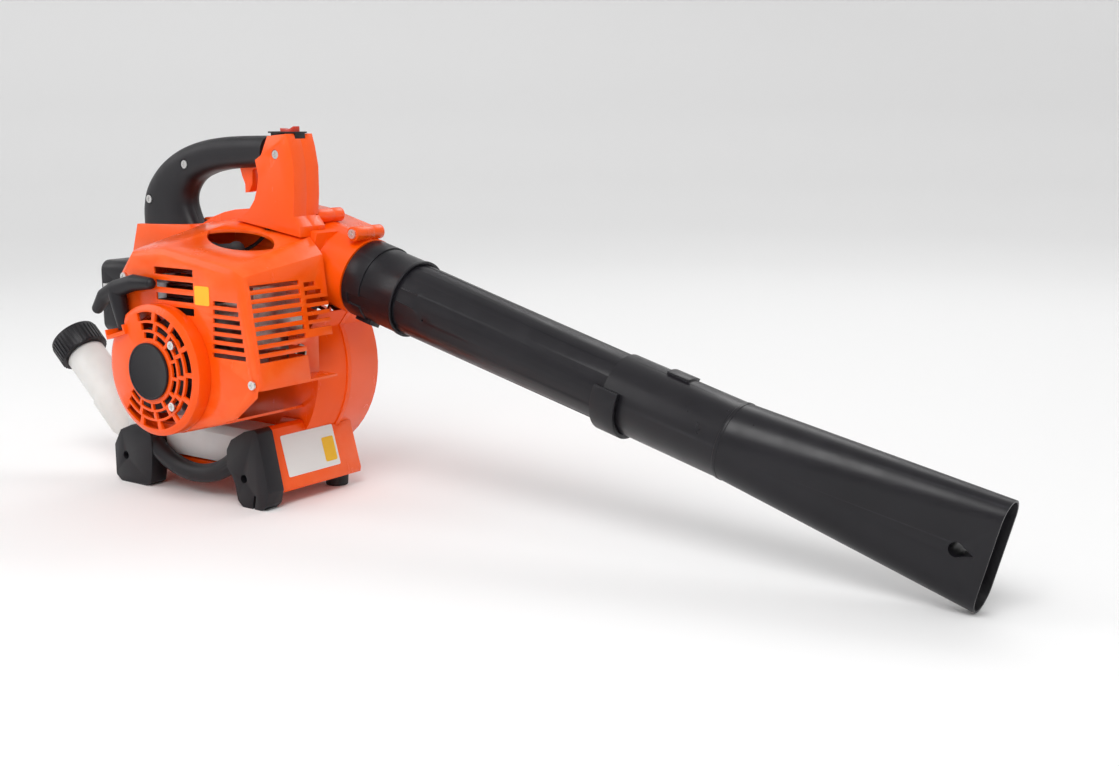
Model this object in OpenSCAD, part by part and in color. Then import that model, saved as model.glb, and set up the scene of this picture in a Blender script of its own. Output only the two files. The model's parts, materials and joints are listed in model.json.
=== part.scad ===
// Hand-held petrol leaf blower: fan housing, engine with recoil starter, handle, tank, stand and tubes.
// Millimetres. Z = 0 is the ground, +X is the blowing direction, -Y is the starter side.

/* [Overall] */
// Height of the crank axis above the ground
crank_h = 144; // [138:1:156]
// Downward pitch of the duct and tubes, in degrees
pitch = 15; // [12:0.5:16]
// Distance from the crank axis to the tube axis
duct_offset = 119; // [116:1:124]
// Running clearance between shafts and their holes
shaft_gap = 0.05; // [0.02:0.01:0.1]
// Radial clearance between sliding plastic sleeves
sleeve_gap = 0.35; // [0.3:0.05:0.6]
// Gap left between neighbouring fixed pieces
seat_gap = 0.3; // [0.2:0.05:0.5]

/* [Fan housing] */
// Smallest radius of the scroll, at its tongue
scroll_r_start = 100; // [96:1:104]
// Half of the housing's width, from the parting plane
scroll_half = 46; // [44:1:48]
// Thickness of the plastic walls
wall = 2.5; // [2:0.1:3]
// Radius of the air intake
intake_r = 58; // [50:1:62]
// Radius of the fan
fan_r = 84; // [70:1:90]
// Number of blades on the fan
fan_blades = 12; // [8:1:14]

/* [Tubes] */
// Outer radius of the upper tube at the collar
tube_r = 37; // [34:0.5:40]
// Outer radius of the upper tube at its far end
tube_end_r = 34; // [31:0.5:34]
// Wall of the tubes
tube_wall = 2; // [1.6:0.1:2.4]
// Distance from the crank axis to the duct's mouth, along the tube
collar_start = 110; // [106:1:116]
// Length of the collar
collar_len = 67; // [60:1:80]
// Length of upper tube seen between the collar and the nozzle
tube_show = 258; // [200:1:320]
// Length of the tube inside the nozzle's sleeve
tube_overlap = 75; // [70:1:90]
// Length of the nozzle
nozzle_len = 373; // [300:1:440]
// Height of the nozzle's mouth
mouth_h = 101.6; // [90:0.2:110]
// Width of the nozzle's mouth
mouth_w = 38; // [34:1:50]

/* [Engine] */
// Radius of the crankshaft's journals
shaft_r = 6; // [5:0.5:7]
// Radius of the cylinder's bore
bore_r = 17; // [15:0.5:18]
// Half the crank's stroke
crank_throw = 14; // [12:0.5:15]
// Half the side of the square cooling fins
fin_half = 34; // [30:1:35]
// Distance from the parting plane to the cylinder's axis
cylinder_y = 88; // [86:1:90]

/* [Starter] */
// Radius of the starter housing
starter_r = 67; // [64:1:70]
// Radius at which the rope leaves the reel
rope_reel_r = 37.6; // [34:0.2:40]
// Lean of the rope and pull handle towards the rear, in degrees
rope_lean = 16; // [10:1:20]
// Radius of the rope
rope_r = 1.7; // [1.5:0.1:2]

/* [Handle] */
// Width of the handle across the grip
handle_w = 36; // [32:1:38]
// Distance from the parting plane to the handle's middle plane
handle_y = 43; // [42:1:46]
// Width of the throttle trigger
trigger_w = 10; // [8:0.5:12]

/* [Tank and stand] */
// Radius of the tank's filler neck
neck_r = 22; // [19:0.5:23]
// Radius of the fuel cap
cap_r = 28; // [27:0.5:31]
// Lean of the filler neck towards the rear, in degrees
neck_lean = 48; // [44:1:52]
// Radius of the lower carrying bar
bar_r = 10; // [8:0.5:12]
// Radius of the holes in the stand's end brackets
bracket_hole_r = 4.5; // [3:0.25:5.5]

/* [Hidden] */
eps = 0.01;
fine = 72;
rounded = 32;

// Colours
orange = [1.0, 0.34, 0.05];
black = [0.13, 0.13, 0.14];
soft_black = [0.17, 0.17, 0.18];
steel = [0.72, 0.73, 0.75];
dark_metal = [0.35, 0.35, 0.37];
milky = [0.9, 0.89, 0.87, 0.8];

// Scroll: the radius grows from the tongue round to the outlet
duct_r = tube_r - tube_wall - 0.5;
scroll_turn = 305;
scroll_steps = 48;
scroll_r_end = duct_offset + tube_r + wall;
mouth_start = collar_start - 2;
boss_r = 7.5;
flange = 2;
boss_angles = [135, 195, 250, 288];
boss_near = 26;
boss_far = 14;
screw_hole_r = 2.6;
hub_hole_r = 32;

// Tube stations along the duct's axis
collar_end = collar_start + collar_len;
spigot_end = collar_start + 28;
seam_at = collar_end + tube_show;
tube_end = seam_at + tube_overlap;
flare_at = seam_at + 125;
tip_at = seam_at + nozzle_len;
sleeve_r = tube_end_r + sleeve_gap + tube_wall;
collar_r = tube_r + sleeve_gap + tube_wall;
band_r = collar_r + 1.7;
lug_at = seam_at + 48;

// Planes across the engine, measured along -Y
cover_front = 157;
cover_back = scroll_half + 1.5;
starter_face = 178;
flywheel_back = 134;
flywheel_front = 151;
case_half_len = 38;
reel_mid = 166;

// Cylinder heights
cylinder_foot = crank_h + 36;
cylinder_top = crank_h + 98;
web_r = 24;
web_gap = 9;

// Stand
bar_y = 109;
rear_hole_x = -119;
front_hole_x = 67;
bracket_hole_z = 30;
leg_h = 82;
foot_h = 15;
foot_y = 8;
tray_h = 33;
tank_front = 98;
tank_back = 50;
tank_floor = 36;
tank_roof = crank_h - 70;

// Filler neck: its foot and its length
neck_foot = [-160, -78, 58];
neck_len = 116;
cap_h = 26;

// Pull handle: where its stem starts along the rope, and the stem's length
stem_at = 50;
stem_len = 42;

// Trigger pivot
trigger_x = 34;
trigger_z = 352;
trigger_pin_r = 2;

// Intake guard, hinged at the rear
guard_r = intake_r + 14;
guard_y = scroll_half + 8 + seat_gap;
guard_thick = 6;
guard_hinge_x = -(intake_r + 24);
guard_hinge_y = guard_y + 3;
guard_pin_r = 2;
badge_proud = 3;

// The row's origin is on the ground under the middle of the whole box
tip_x = tip_at * cos(pitch) + (duct_offset + mouth_h / 2) * sin(pitch);
rear_x = neck_foot[0] - (neck_len - 14 + cap_h) * sin(neck_lean) - cap_r * cos(neck_lean);
origin_x = (tip_x + rear_x) / 2;
origin_y = (guard_y + guard_thick - starter_face - badge_proud) / 2;

// ---------- placing ----------

// Moves the crank-centred drawing to the row's origin
module place() {
    translate([-origin_x, -origin_y, 0]) children();
}

// Local frame of the duct: X along the tube, Z across it, from the crank axis
module along_duct() {
    translate([0, 0, crank_h]) rotate([0, pitch, 0]) children();
}

// Extrudes an XZ outline between two Y planes, y0 < y1
module slab(y0, y1) {
    translate([0, y1, 0]) rotate([90, 0, 0]) linear_extrude(y1 - y0) children();
}

// A cylinder along +Y from y0 to y1 at (x, z)
module rod_y(x, z, y0, y1, r, fn = fine) {
    translate([x, y1, z]) rotate([90, 0, 0]) cylinder(r = r, h = y1 - y0, $fn = fn);
}

// A tube along +Y
module pipe_y(x, z, y0, y1, r_out, r_in) {
    difference() {
        rod_y(x, z, y0, y1, r_out);
        rod_y(x, z, y0 - 1, y1 + 1, r_in);
    }
}

// A tube along local +X with a start and end radius
module pipe_x(x0, x1, r_a, r_b, thick) {
    translate([x0, 0, 0]) rotate([0, 90, 0]) difference() {
        cylinder(r1 = r_a, r2 = r_b, h = x1 - x0, $fn = fine);
        translate([0, 0, -eps]) cylinder(r1 = r_a - thick, r2 = r_b - thick, h = x1 - x0 + 2 * eps, $fn = fine);
    }
}

// A pan-head screw along +Y whose head faces -Y at y
module screw_y(x, y, z, head_r, len) {
    difference() {
        union() {
            rod_y(x, z, y - 2, y, head_r, rounded);
            rod_y(x, z, y - eps, y + len, head_r * 0.5, rounded);
        }
        for (a = [0, 90]) translate([x, y - 2, z]) rotate([0, a, 0]) cube([head_r * 1.2, 2, 0.9], center = true);
    }
}

// ---------- fan housing ----------

function scroll_radius(t) = scroll_r_end - (scroll_r_end - scroll_r_start) * t;

function scroll_points(grow) = [
    for (i = [0:scroll_steps])
        let (t = i / scroll_steps, a = 90 + scroll_turn * t, r = scroll_radius(t) + grow)
        [r * cos(a), r * sin(a)]
];

// Places of the housing's screw bosses: two over the duct, the others round the scroll
boss_places = concat([[42, scroll_r_end + 8], [collar_start - 10, scroll_r_end + 7.5]], [
    for (a = boss_angles) let (r = scroll_radius((a - 90) / scroll_turn) + 6) [r * cos(a), r * sin(a)]
]);

// Outline of the scroll and its straight outlet, in the duct's frame
module scroll_outline(grow, end_at) {
    polygon(concat(scroll_points(grow), [
        [scroll_r_start * 0.92, duct_offset - tube_r - wall - grow],
        [end_at, duct_offset - tube_r - wall - grow],
        [end_at, scroll_r_end + grow]
    ]));
}

// Solid envelope of the housing, for cutting neighbours
module scroll_envelope(gap) {
    along_duct() {
        slab(-scroll_half - gap, scroll_half + gap) scroll_outline(gap, 70);
        slab(-3 - gap, 3 + gap) scroll_outline(flange + gap, 84);
        duct_solid(gap);
        for (b = boss_places) rod_y(b[0], b[1], -boss_near - 2 - gap, boss_far, boss_r + gap, rounded);
    }
}

module duct_solid(grow) {
    translate([20, 0, duct_offset]) rotate([0, 90, 0])
        cylinder(r = tube_r + wall + 2 + grow, h = mouth_start - 20, $fn = fine);
}

module spigot_bore() {
    translate([0, 0, duct_offset]) rotate([0, 90, 0]) cylinder(r = duct_r, h = spigot_end + 20, $fn = fine);
}

module half_space(side) {
    translate([-400, side < 0 ? -200 : 0, -400]) cube([900, 200, 900]);
}

// One half of the fan housing; side is -1 for the engine half, 1 for the intake half
module volute_half(side) {
    y0 = side < 0 ? -scroll_half : 0;
    y1 = side < 0 ? 0 : scroll_half;
    in0 = side < 0 ? y0 + wall : -1;
    in1 = side < 0 ? 1 : y1 - wall;
    along_duct() difference() {
        intersection() {
            union() {
                slab(-scroll_half, scroll_half) scroll_outline(0, 70);
                duct_solid(0);
                translate([mouth_start - 1, 0, duct_offset]) rotate([0, 90, 0])
                    cylinder(r = tube_r, h = spigot_end - mouth_start + 1, $fn = fine);
                slab(-3, 3) scroll_outline(flange, 84);
                for (b = boss_places) rod_y(b[0], b[1], -boss_near, boss_far, boss_r, rounded);
            }
            half_space(side);
        }
        slab(in0, in1) scroll_outline(-wall, 60);
        spigot_bore();
        for (b = boss_places) rod_y(b[0], b[1], -boss_near - 4, 10, screw_hole_r, rounded);
    }
}

module volute_engine_half() place() color(orange) difference() {
    volute_half(-1);
    rod_y(0, crank_h, -scroll_half - 1, -scroll_half + wall + 1, hub_hole_r);
}

module volute_intake_half() place() color(orange) {
    difference() {
        union() {
            volute_half(1);
            rod_y(0, crank_h, scroll_half - wall, scroll_half + 8, intake_r + 4);
        }
        translate([0, scroll_half - wall - 1, crank_h]) rotate([-90, 0, 0])
            cylinder(r = intake_r, h = 20, $fn = fine);
    }
    guard_lugs();
}

// Screws that pull the two halves together, from the engine side
module volute_screws() place() color(steel) along_duct()
    for (b = boss_places) screw_y(b[0], -boss_near, b[1], 5, 34);

// ---------- intake guard, hinged at the rear ----------

// Two ears on the housing that carry the hinge pin
module guard_lugs() {
    for (z = [-1, 1]) translate([guard_hinge_x - 4, scroll_half - eps, crank_h + z * 20 - 4]) difference() {
        cube([8, guard_hinge_y - scroll_half + 4, 8]);
        translate([4, guard_hinge_y - scroll_half, -1]) cylinder(r = guard_pin_r + shaft_gap, h = 10, $fn = rounded);
    }
}

module intake_guard() place() color(orange) {
    difference() {
        union() {
            for (r = [guard_r, 56, 44, 32, 20]) pipe_y(0, crank_h, guard_y, guard_y + guard_thick, r, r - 4);
            rod_y(0, crank_h, guard_y, guard_y + guard_thick, 10);
            for (a = [0:30:330]) translate([0, guard_y, crank_h]) rotate([0, a, 0])
                translate([8, 0, -1.5]) cube([guard_r - 10, 5, 3]);
        }
        translate([-guard_r * 2, guard_y - 1, crank_h + 15.5]) cube([guard_r * 2 - 68, 10, 9]);
        translate([-guard_r * 2, guard_y - 1, crank_h - 24.5]) cube([guard_r * 2 - 68, 10, 9]);
    }
    difference() {
        translate([guard_hinge_x - 4, guard_hinge_y - 3, crank_h - 15])
            cube([-guard_hinge_x + 4 - guard_r + 3, 6, 30]);
        translate([guard_hinge_x, guard_hinge_y, crank_h - 30])
            cylinder(r = guard_pin_r + shaft_gap, h = 60, $fn = rounded);
    }
}

module guard_pin() place() color(steel) translate([guard_hinge_x, guard_hinge_y, crank_h - 25])
    cylinder(r = guard_pin_r, h = 50, $fn = rounded);

// ---------- fan ----------
fan_y = 34;

module fan() place() color(soft_black) {
    difference() {
        union() {
            rod_y(0, crank_h, -fan_y, -fan_y + 3, fan_r);
            rod_y(0, crank_h, -fan_y, -fan_y + 26, 16);
            for (i = [0:fan_blades - 1]) translate([0, -fan_y + 2, crank_h])
                rotate([0, i * 360 / fan_blades, 0]) translate([46, 0, 0]) rotate([0, 28, 0])
                translate([-30, 0, -1.2]) cube([64, 62, 2.4]);
        }
        rod_y(0, crank_h, -fan_y - 1, -fan_y + 40, shaft_r);
        pipe_y(0, crank_h, -fan_y + 3.1, fan_y + 10, fan_r + 40, fan_r);
    }
}

module fan_nut() place() color(steel) difference() {
    rod_y(0, crank_h, -fan_y + 26, -fan_y + 34, 10, 6);
    rod_y(0, crank_h, -fan_y + 20, -fan_y + 40, shaft_r);
}

// ---------- crank train ----------
module crank_fan_half() place() color(steel) {
    rod_y(0, crank_h, -cylinder_y + web_gap / 2, -cylinder_y + web_gap / 2 + 8, web_r);
    rod_y(0, crank_h, -cylinder_y + web_gap / 2 + 8 - eps, -fan_y + 38, shaft_r);
}

module crank_starter_half() place() color(steel) {
    rod_y(0, crank_h, -cylinder_y - web_gap / 2 - 8, -cylinder_y - web_gap / 2, web_r);
    rod_y(0, crank_h, -flywheel_front - 4, -cylinder_y - web_gap / 2 - 8 + eps, shaft_r);
}

// The pin stands between the webs, clear of both
module crank_pin() place() color(steel)
    rod_y(0, crank_h + crank_throw, -cylinder_y - web_gap / 2 + 0.4, -cylinder_y + web_gap / 2 - 0.4, 4);

rod_len = 52;
wrist_h = crank_h + crank_throw + rod_len;

module conrod() place() color(steel) difference() {
    slab(-cylinder_y - 3, -cylinder_y + 3) union() {
        translate([0, crank_h + crank_throw]) circle(r = 7.5, $fn = fine);
        translate([0, wrist_h]) circle(r = 6, $fn = fine);
        translate([-3.5, crank_h + crank_throw]) square([7, rod_len]);
    }
    rod_y(0, crank_h + crank_throw, -cylinder_y - 4, -cylinder_y + 4, 4 + shaft_gap);
    rod_y(0, wrist_h, -cylinder_y - 4, -cylinder_y + 4, 3.5 + shaft_gap);
}

module wrist_pin() place() color(steel) rod_y(0, wrist_h, -cylinder_y - 14, -cylinder_y + 14, 3.5);

module piston() place() color(steel) translate([0, -cylinder_y, wrist_h - 12]) difference() {
    cylinder(r = bore_r - 0.1, h = 26, $fn = fine);
    translate([0, 0, -1]) cylinder(r = bore_r - 3, h = 23, $fn = fine);
    translate([0, 20, 12]) rotate([90, 0, 0]) cylinder(r = 3.5 + shaft_gap, h = 40, $fn = fine);
    for (z = [22, 24]) translate([0, 0, z]) difference() {
        cylinder(r = bore_r + 1, h = 1, $fn = fine);
        translate([0, 0, -1]) cylinder(r = bore_r - 1, h = 3, $fn = fine);
    }
}

// ---------- crankcase ----------
case_r = 34;
bearing_r = 14;
bearing_len = 9;
chamber_half = 17;

module case_blank(y0, y1) {
    rod_y(0, crank_h, y0, y1, case_r);
    translate([-case_r, y0, crank_h]) cube([2 * case_r, y1 - y0, 36]);
}

module case_bores() {
    rod_y(0, crank_h, -cylinder_y - chamber_half, -cylinder_y + chamber_half, web_r + 2);
    translate([0, -cylinder_y, crank_h]) cylinder(r = bore_r + 1, h = 60, $fn = fine);
    rod_y(0, crank_h, -200, 0, shaft_r + 1);
    for (side = [-1, 1]) translate([0, -cylinder_y + side * (chamber_half + bearing_len / 2), 0])
        rod_y(0, crank_h, -bearing_len / 2 - eps, bearing_len / 2 + eps, bearing_r);
}

module crankcase_fan_half() place() color(dark_metal) difference() {
    union() {
        case_blank(-cylinder_y + seat_gap / 2, -cylinder_y + case_half_len);
        rod_y(0, crank_h, -cylinder_y + case_half_len - 1, -scroll_half + wall - 1, hub_hole_r - seat_gap);
    }
    case_bores();
}

module crankcase_starter_half() place() color(dark_metal) difference() {
    case_blank(-cylinder_y - case_half_len, -cylinder_y - seat_gap / 2);
    case_bores();
}

module main_bearings() place() color(steel) for (side = [-1, 1])
    translate([0, -cylinder_y + side * (chamber_half + bearing_len / 2), 0])
        pipe_y(0, crank_h, -bearing_len / 2 + 0.2, bearing_len / 2 - 0.2, bearing_r - 0.05, shaft_r + shaft_gap);

// ---------- cylinder, plug and ignition ----------

module cylinder_block() place() color(steel) translate([0, -cylinder_y, 0]) difference() {
    union() {
        translate([0, 0, cylinder_foot + seat_gap]) cylinder(r = bore_r + 6, h = cylinder_top - cylinder_foot - 4, $fn = fine);
        translate([-30, -28, cylinder_foot + seat_gap]) cube([60, 56, 6]);
        for (z = [cylinder_foot + 12:6.5:cylinder_top - 4])
            translate([-fin_half, -fin_half, z]) cube([2 * fin_half, 2 * fin_half, 2]);
        translate([10, -16, cylinder_foot + 16]) cube([fin_half + 2 - 10, 32, 28]);
        translate([-fin_half - 2, -14, cylinder_foot + 14]) cube([fin_half - 8, 28, 22]);
    }
    translate([0, 0, cylinder_foot - 1]) cylinder(r = bore_r, h = wrist_h + 17 - cylinder_foot, $fn = fine);
    translate([0, 0, wrist_h + 15]) cylinder(r = 5, h = 60, $fn = rounded);
    translate([0, 0, cylinder_foot + 30]) rotate([0, 90, 0]) cylinder(r = 8, h = 60, $fn = rounded);
    translate([0, 0, cylinder_foot + 24]) rotate([0, -90, 0]) cylinder(r = 7, h = 60, $fn = rounded);
}

module spark_plug() place() color("white") translate([0, -cylinder_y, cylinder_top - 6]) {
    cylinder(r = 4.8, h = 5, $fn = rounded);
    translate([0, 0, 5 - eps]) cylinder(r = 8, h = 6, $fn = 6);
    translate([0, 0, 11 - 2 * eps]) cylinder(r = 5, h = 8, $fn = rounded);
}

// Rubber boot over the plug, with its rounded end towards the front
module plug_boot() place() color(black) translate([0, -cylinder_y, cylinder_top + 5.4]) difference() {
    union() {
        cylinder(r = 8, h = 13, $fn = rounded);
        translate([0, 0, 11]) rotate([0, 84, 0]) cylinder(r = 6.5, h = 34, $fn = rounded);
        translate([35, 0, 14.5]) sphere(r = 8.5, $fn = rounded);
        translate([0, 0, 12]) sphere(r = 7.9, $fn = rounded);
    }
    translate([0, 0, -1]) cylinder(r = 5.2, h = 9.4, $fn = rounded);
}

module ignition_coil() place() color(black) {
    translate([-20, -flywheel_back - 14, crank_h + 53]) cube([40, 12, 16]);
    for (x = [-16, 8]) translate([x, -flywheel_back - 12, crank_h + 51.5]) cube([8, 8, 2]);
}

module flywheel() place() color(steel) difference() {
    union() {
        rod_y(0, crank_h, -flywheel_back - 6, -flywheel_back, 50);
        rod_y(0, crank_h, -flywheel_front, -flywheel_back - 5, 14);
        pipe_y(0, crank_h, -flywheel_back - 11, -flywheel_back - 5, 50, 43);
        for (a = [0:24:336]) translate([0, -flywheel_front, crank_h]) rotate([0, a, 0])
            translate([16, 0, -1]) cube([30, flywheel_front - flywheel_back - 5, 2]);
        rod_y(0, crank_h, -flywheel_front - 4, -flywheel_front + 1, 11);
    }
    rod_y(0, crank_h, -200, 0, shaft_r);
}

// ---------- muffler ----------
muffler_x0 = fin_half + 3;
muffler_x1 = 96;

module muffler() place() color(steel) difference() {
    union() {
        translate([muffler_x0, -cylinder_y - 36, cylinder_foot - 16]) cube([muffler_x1 - muffler_x0, 66, 66]);
        for (z = [0:1:4]) translate([muffler_x0 + 4, -cylinder_y - 37.5, cylinder_foot - 8 + z * 12])
            cube([muffler_x1 - muffler_x0 - 8, 69, 3]);
        translate([muffler_x1 - 1, -cylinder_y + 14, crank_h + 16]) rotate([0, 90, 0])
            cylinder(r = 8, h = 14, $fn = rounded);
    }
    translate([muffler_x0 + 2, -cylinder_y - 34, cylinder_foot - 14])
        cube([muffler_x1 - muffler_x0 - 4, 62, 62]);
    translate([muffler_x0 + 20, -cylinder_y + 14, crank_h + 16]) rotate([0, 90, 0])
        cylinder(r = 6, h = 80, $fn = rounded);
    translate([0, -cylinder_y, cylinder_foot + 30]) rotate([0, 90, 0])
        cylinder(r = 8, h = muffler_x0 + 10, $fn = rounded);
}

// ---------- fuel and air ----------
port_z = cylinder_foot + 24;
carb_x1 = -58;
carb_x0 = -92;
filter_x0 = -150;

module intake_manifold() place() color(black) difference() {
    translate([carb_x1 + seat_gap, -cylinder_y - 16, port_z - 16])
        cube([-fin_half - 2 - carb_x1 - 2 * seat_gap, 32, 32]);
    translate([0, -cylinder_y, port_z]) rotate([0, -90, 0]) cylinder(r = 7, h = 80, $fn = rounded);
}

module carburettor() place() color(steel) difference() {
    union() {
        translate([carb_x0, -cylinder_y - 15, port_z - 18]) cube([carb_x1 - carb_x0, 30, 36]);
        translate([carb_x0 + 17, -cylinder_y + 2, port_z + 17]) cylinder(r = 7, h = 8, $fn = rounded);
    }
    translate([0, -cylinder_y, port_z]) rotate([0, -90, 0]) cylinder(r = 7, h = 120, $fn = rounded);
    translate([carb_x0 + 17, -cylinder_y + 2, port_z + 20]) cylinder(r = 1.6, h = 20, $fn = rounded);
    translate([carb_x0 + 17, -cylinder_y, port_z - 19])
        cylinder(r = primer_r + 0.5, h = 1 + primer_travel + primer_flange + seat_gap, $fn = fine);
    translate([carb_x0 + 8, -cylinder_y - 20, port_z + 12]) rotate([-90, 0, 0])
        cylinder(r = 2 + shaft_gap, h = 20, $fn = rounded);
}

// Priming bulb: its flange runs in a recess under the carburettor
primer_r = 13;
primer_flange = 2;
primer_travel = 3;

module primer_bulb() place() color([0.8, 0.3, 0.2])
    translate([carb_x0 + 17, -cylinder_y, port_z - 18 + primer_flange]) difference() {
        rotate([180, 0, 0]) rotate_extrude($fn = fine) union() {
            intersection() {
                circle(r = primer_r - 2, $fn = fine);
                square(primer_r);
            }
            square([primer_r, primer_flange]);
        }
        translate([0, 0, -1]) sphere(r = 7.5, $fn = rounded);
    }

// Choke lever: its shaft enters the carburettor and its arm lies beside the filter cover
choke_y = cylinder_y + 36;

module choke_lever() place() color(steel) translate([carb_x0 + 8, -choke_y, port_z + 12]) {
    rotate([-90, 0, 0]) cylinder(r = 2, h = choke_y - cylinder_y - 3, $fn = rounded);
    rotate([90, 0, 0]) cylinder(r = 5, h = 3, $fn = rounded);
    translate([-36, -3, -3]) cube([36, 3, 6]);
    translate([-42, -8, -4]) cube([8, 8, 8]);
}

module filter_base() place() color(black) difference() {
    translate([carb_x0 - 5, 0, 0]) slab_x(5 - seat_gap) filter_face(8, -2.5 - seat_gap);
    translate([0, -cylinder_y, port_z]) rotate([0, -90, 0]) cylinder(r = 7, h = 120, $fn = rounded);
}

module filter_element() place() color([0.3, 0.3, 0.28])
    translate([carb_x0 - 5 - 18, -cylinder_y - 24, port_z - 30]) cube([18 - seat_gap, 50, 60]);

module filter_cover() place() color(black) difference() {
    hull() {
        translate([filter_x0, 0, 0]) slab_x(6) filter_face(10, -6);
        translate([filter_x0 + 8, 0, 0]) slab_x(6) filter_face(10, 0);
        translate([carb_x0 - 6, 0, 0]) slab_x(5.5) filter_face(8, 0);
    }
    hull() {
        translate([filter_x0 + 3, 0, 0]) slab_x(6) filter_face(8, -8);
        translate([carb_x0 - 6, 0, 0]) slab_x(7) filter_face(8, -2.5);
    }
    translate([carb_x0 - 30, -cylinder_y - 60, port_z + 6]) cube([40, 40, 12]);
}

// Extrudes a YZ outline along +X
module slab_x(len) {
    rotate([90, 0, 90]) linear_extrude(len) children();
}

module filter_face(corner, grow) {
    translate([-cylinder_y - 33, port_z - 39]) offset(r = corner, $fn = rounded) offset(delta = grow - corner)
        square([68, 78]);
}

// ---------- engine cover ----------
ledge_x = 82;
ledge_z = crank_h - 10;
cover_edge = 7;
cover_climb = 22;

// Outline of the cover seen from the starter side; lift raises its roof and inset shrinks it
module cover_outline(lift, inset) {
    offset(delta = -inset) union() {
        translate([0, crank_h]) circle(r = starter_r + 1, $fn = 60);
        polygon([
            [-starter_r - 1, crank_h], [-starter_r - 1, crank_h + 94 + lift], [-48, crank_h + 118 + lift],
            [0, crank_h + 124 + lift], [100, crank_h + 109 + lift], [117, crank_h + 101 + lift * 0.6],
            [134, crank_h - 6], [132, crank_h - 18], [100, crank_h - 44], [30, crank_h - 60]
        ]);
    }
}

// The cover's solid shape: its front edge is chamfered and its roof climbs towards the back
module cover_body(inset, front, back) {
    hull() {
        slab(-front, -front + eps) cover_outline(0, inset + cover_edge);
        slab(-front + cover_edge * 0.4, -front + cover_edge * 0.4 + eps) cover_outline(0, inset + cover_edge * 0.3);
        slab(-front + cover_edge, -front + cover_edge + eps) cover_outline(0, inset);
        slab(-back - 1, -back) cover_outline(cover_climb, inset);
    }
}

module engine_cover() place() color(orange) difference() {
    union() {
        difference() {
            cover_body(0, cover_front, cover_back);
            cover_body(wall, cover_front - wall, cover_back - 5);
            translate([ledge_x, -cover_front + wall, crank_h - 70]) cube([60, 200, 70 + ledge_z - crank_h]);
        }
        intersection() {
            union() {
                exhaust_pocket(2, 0);
                translate([60, -cover_front + 1, ledge_z]) cube([90, 200, wall]);
            }
            cover_body(0, cover_front, cover_back);
        }
    }
    exhaust_pocket(0, 3);
    scroll_envelope(seat_gap);
    rod_y(0, crank_h, -cover_front - 1, -cover_front + wall + 1, 55);
    cover_slots();
    eye_opening();
    translate([-starter_r - 8, -cylinder_y - 22, port_z - 34]) cube([14, 44, 62]);
    translate([-36, -cylinder_y - 36, 60]) cube([110, 80, 50]);
    translate([muffler_x1 - 1, -cylinder_y + 14, crank_h + 16]) rotate([0, 90, 0])
        cylinder(r = 8.6, h = 40, $fn = rounded);
    cable_route(cable_r + 2);
    hose_route(hose_r + 1.2);
    for (s = cover_screw_places) rod_y(s[0], s[1], -cover_front - 1, -cover_back + 40, 2.4, rounded);
}

// Rectangular recess that the exhaust blows out of
module exhaust_pocket(thick, depth) {
    translate([108 - thick, -86 - thick, ledge_z + wall - thick + eps])
        cube([40 + depth, 74 + 2 * thick, 41 + 2 * thick]);
}

module cover_slots() {
    for (i = [0:6]) translate([74 - i * 0.6, -cover_front - 1, crank_h + 70 - i * 8.6])
        cube([34 + i * 2.2, 8, 4.8]);
    for (i = [0:3]) translate([-12 + i * 1, -cover_front - 1, crank_h + 96 - i * 13])
        cube([58 - i * 1, 12, 7.5]);
    for (i = [0:8]) translate([84, -150, crank_h + 87 - i * 8.8]) cube([60, 65, 4.6]);
    for (i = [0:5]) translate([84, -79, crank_h + 84 - i * 8.4]) cube([60, 16 + i * 8, 4.6]);
}

// Lens-shaped opening above the spark plug
module eye_opening() {
    translate([48, -cylinder_y - 6, crank_h + 90]) linear_extrude(60) intersection() {
        translate([0, -28]) circle(r = 54, $fn = fine);
        translate([0, 28]) circle(r = 54, $fn = fine);
    }
}

cover_screw_places = [[126, crank_h - 4], [-58, crank_h + 90]];

// ---------- recoil starter ----------
grille_rows = [[33.5, 39.5], [42, 49], [51.5, 60]];
case_screw_r = 4.4;
case_screw_len = 8;
starter_screw_places = [for (a = [40, -45]) [46 * cos(a), crank_h + 46 * sin(a)]];

// A ring sector of the grille between two radii
module grille_slot(row, a0, span) {
    translate([0, -starter_face + 10, crank_h]) rotate([90, 0, 0]) rotate([0, 0, a0])
        rotate_extrude(angle = span, $fn = fine) translate([row[0], 0]) square([row[1] - row[0], 20]);
}

module starter_housing() place() color(orange) difference() {
    union() {
        translate([0, -cover_front - seat_gap, crank_h]) rotate([90, 0, 0]) rotate_extrude($fn = fine)
            polygon([[57, 0], [starter_r, 0], [starter_r, 15], [61, starter_face - cover_front - seat_gap - 2.5],
                     [31, starter_face - cover_front - seat_gap], [0, starter_face - cover_front - seat_gap],
                     [0, starter_face - cover_front - seat_gap - 2.5], [30, starter_face - cover_front - seat_gap - 2.5],
                     [58, starter_face - cover_front - seat_gap - 5.5], [starter_r - 3, 13], [starter_r - 3, 2.5],
                     [57, 2.5]]);
        for (s = starter_screw_places) rod_y(s[0], s[1], -starter_face + 2.6, -starter_face + 6, 6, rounded);
        stem_pocket(2, 0);
    }
    for (row = [0:2], i = [0:8]) grille_slot(grille_rows[row], -142 + row * 4 + i * 27.5, 22.5);
    for (s = starter_screw_places) rod_y(s[0], s[1], -starter_face - 5, -starter_face + 10, 2.5, rounded);
    stem_pocket(0, 3);
    along_rope() translate([0, 0, 30]) cylinder(r = rope_r + 0.5, h = 30, $fn = rounded);
}

// Frame on the rope's line: local Z runs out along the rope
module along_rope() {
    translate([0, -reel_mid, crank_h]) rotate([0, -rope_lean, 0]) translate([-rope_reel_r, 0, 0]) children();
}

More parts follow.
